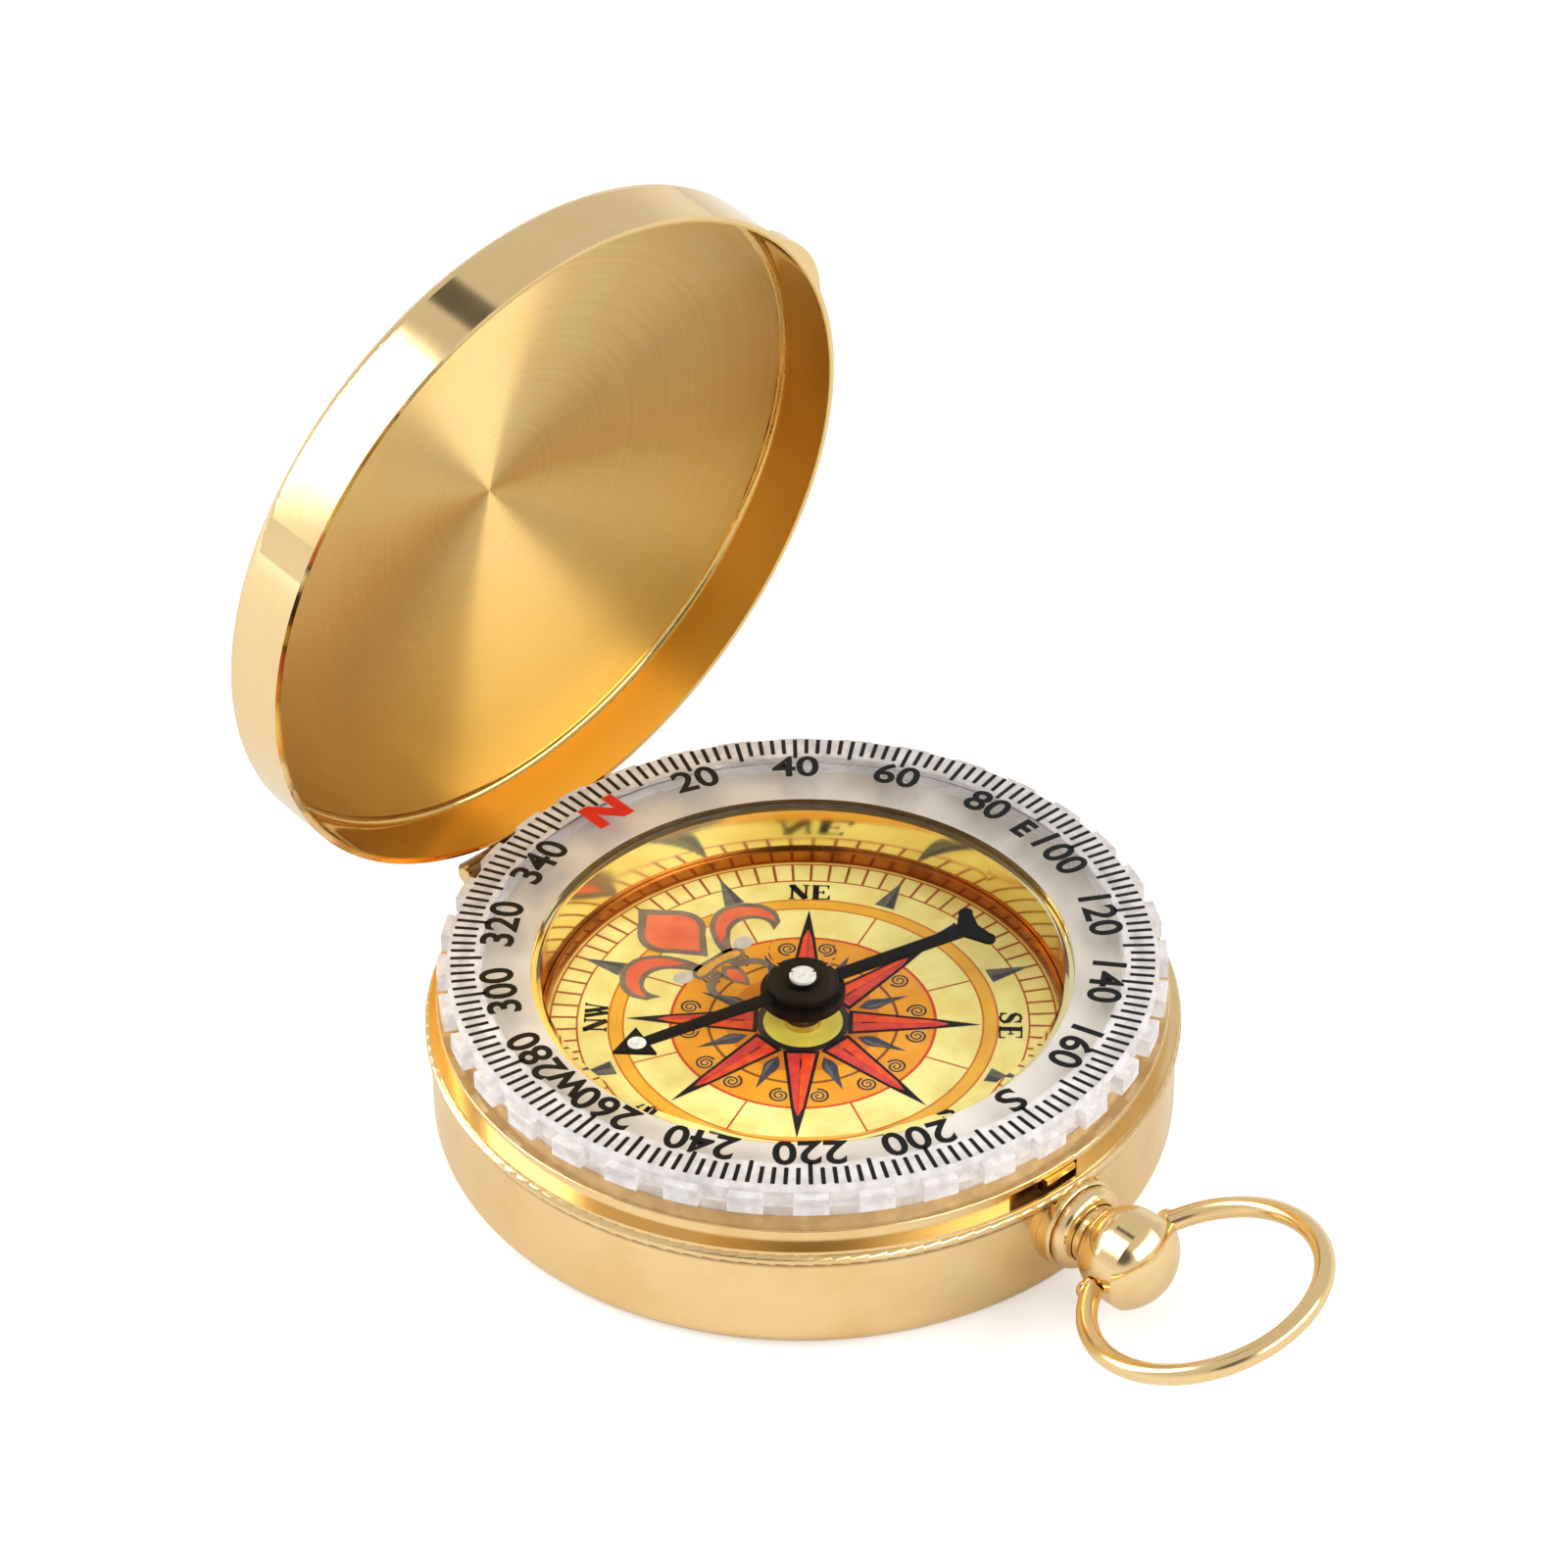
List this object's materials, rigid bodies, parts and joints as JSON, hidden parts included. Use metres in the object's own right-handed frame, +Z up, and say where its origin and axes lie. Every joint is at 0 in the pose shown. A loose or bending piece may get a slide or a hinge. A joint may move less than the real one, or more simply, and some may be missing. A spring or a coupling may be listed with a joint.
{
  "type": "pocket compass in a hunter case",
  "caption": "Brass pocket compass: hinged lid, turning clear bezel with degree scale, needle over a compass-rose dial, push-button crown and bow ring.",
  "frame": {"origin": "centre of the case's flat bottom", "axes": "+Z up through the needle's pivot, the crown and bow point to -Y, the lid's hinge is at +Y and runs along X"},
  "size_m": [0.0506, 0.0766, 0.0596],
  "materials": {
    "polished_brass": "polished and lacquered",
    "brushed_brass": "circular brushed inside, polished outside",
    "spring_steel": "plain spring steel",
    "clear_acrylic": "clear moulded acrylic, printed with the scale",
    "rubber_ring": "matt",
    "spacer_plastic": "moulded",
    "dial_print": "printed card under lacquer",
    "plate_brass": "plain",
    "ring_plastic": "dark brown",
    "post_brass": "turned",
    "black_needle": "black paint over magnet steel",
    "black_hub": "black",
    "cup_brass": "plain",
    "lume": "luminous paint"
  },
  "bodies": {
    "case": {"case_shell": "polished_brass", "rim_ring": "polished_brass", "case_knuckles": "polished_brass", "hinge_pin": "polished_brass", "lift_spring": "spring_steel", "spring_screws": "spring_steel", "latch_post": "post_brass", "latch_return_spring": "spring_steel", "pendant_neck": "polished_brass", "button_spring": "spring_steel", "bezel_friction_ring": "rubber_ring", "spacer_ring": "spacer_plastic", "dial_plate": "plate_brass", "dial_card": "dial_print", "dial_ring": "ring_plastic", "well_sleeve": "polished_brass", "pivot_post": "post_brass"},
    "lid": {"lid_shell": "brushed_brass", "lid_knuckles": "polished_brass"},
    "bezel": {"bezel_crystal": "clear_acrylic"},
    "needle": {"needle_hub": "black_hub", "needle_blade": "black_needle", "bearing_cup": "cup_brass", "lume_dots": "lume"},
    "button": {"button_stem": "post_brass"},
    "crown": {"crown_ball": "polished_brass"},
    "bow": {"bow_ring": "polished_brass"},
    "latch": {"latch_lever": "spring_steel"}
  },
  "joints": [
    {"name": "lid_hinge", "type": "hinge", "parent": "case", "child": "lid", "pos_m": [0, 0.02596, 0.00859], "axis": [1, 0, 0], "range_deg": [0, 82.57], "stiffness_Nm_per_rad": 0.0016, "springref_deg": -28.65, "deforming": ["lift_spring"]},
    {"name": "bezel_turn", "type": "hinge", "parent": "case", "child": "bezel", "pos_m": [0, 0, 0.0105], "axis": [0, 0, 1], "continuous": true},
    {"name": "needle_turn", "type": "hinge", "parent": "case", "child": "needle", "pos_m": [0, 0, 0.0092], "axis": [0, 0, 1], "continuous": true},
    {"name": "button_press", "type": "slide", "parent": "case", "child": "button", "axis": [0, 1, 0], "range_m": [0, 0.0005], "stiffness_N_per_m": 600, "springref_m": -0.001, "deforming": ["button_spring", "latch_return_spring"]},
    {"name": "crown_swivel", "type": "hinge", "parent": "button", "child": "crown", "pos_m": [0, -0.02992, 0.00495], "axis": [0, -1, 0], "continuous": true},
    {"name": "bow_swing", "type": "hinge", "parent": "crown", "child": "bow", "pos_m": [0, -0.02992, 0.00495], "axis": [-0.9816, 0, -0.1908], "range_deg": [-128.7, 99.3]},
    {"name": "latch_swing", "type": "hinge", "parent": "case", "child": "latch", "pos_m": [-0.013, -0.01934, 0.005], "axis": [0, 0, 1], "range_deg": [0, 2.25]}
  ],
  "couplings": [
    {"joint": "latch_swing", "follows": "button_press", "rad_per_m": 76.923}
  ]
}
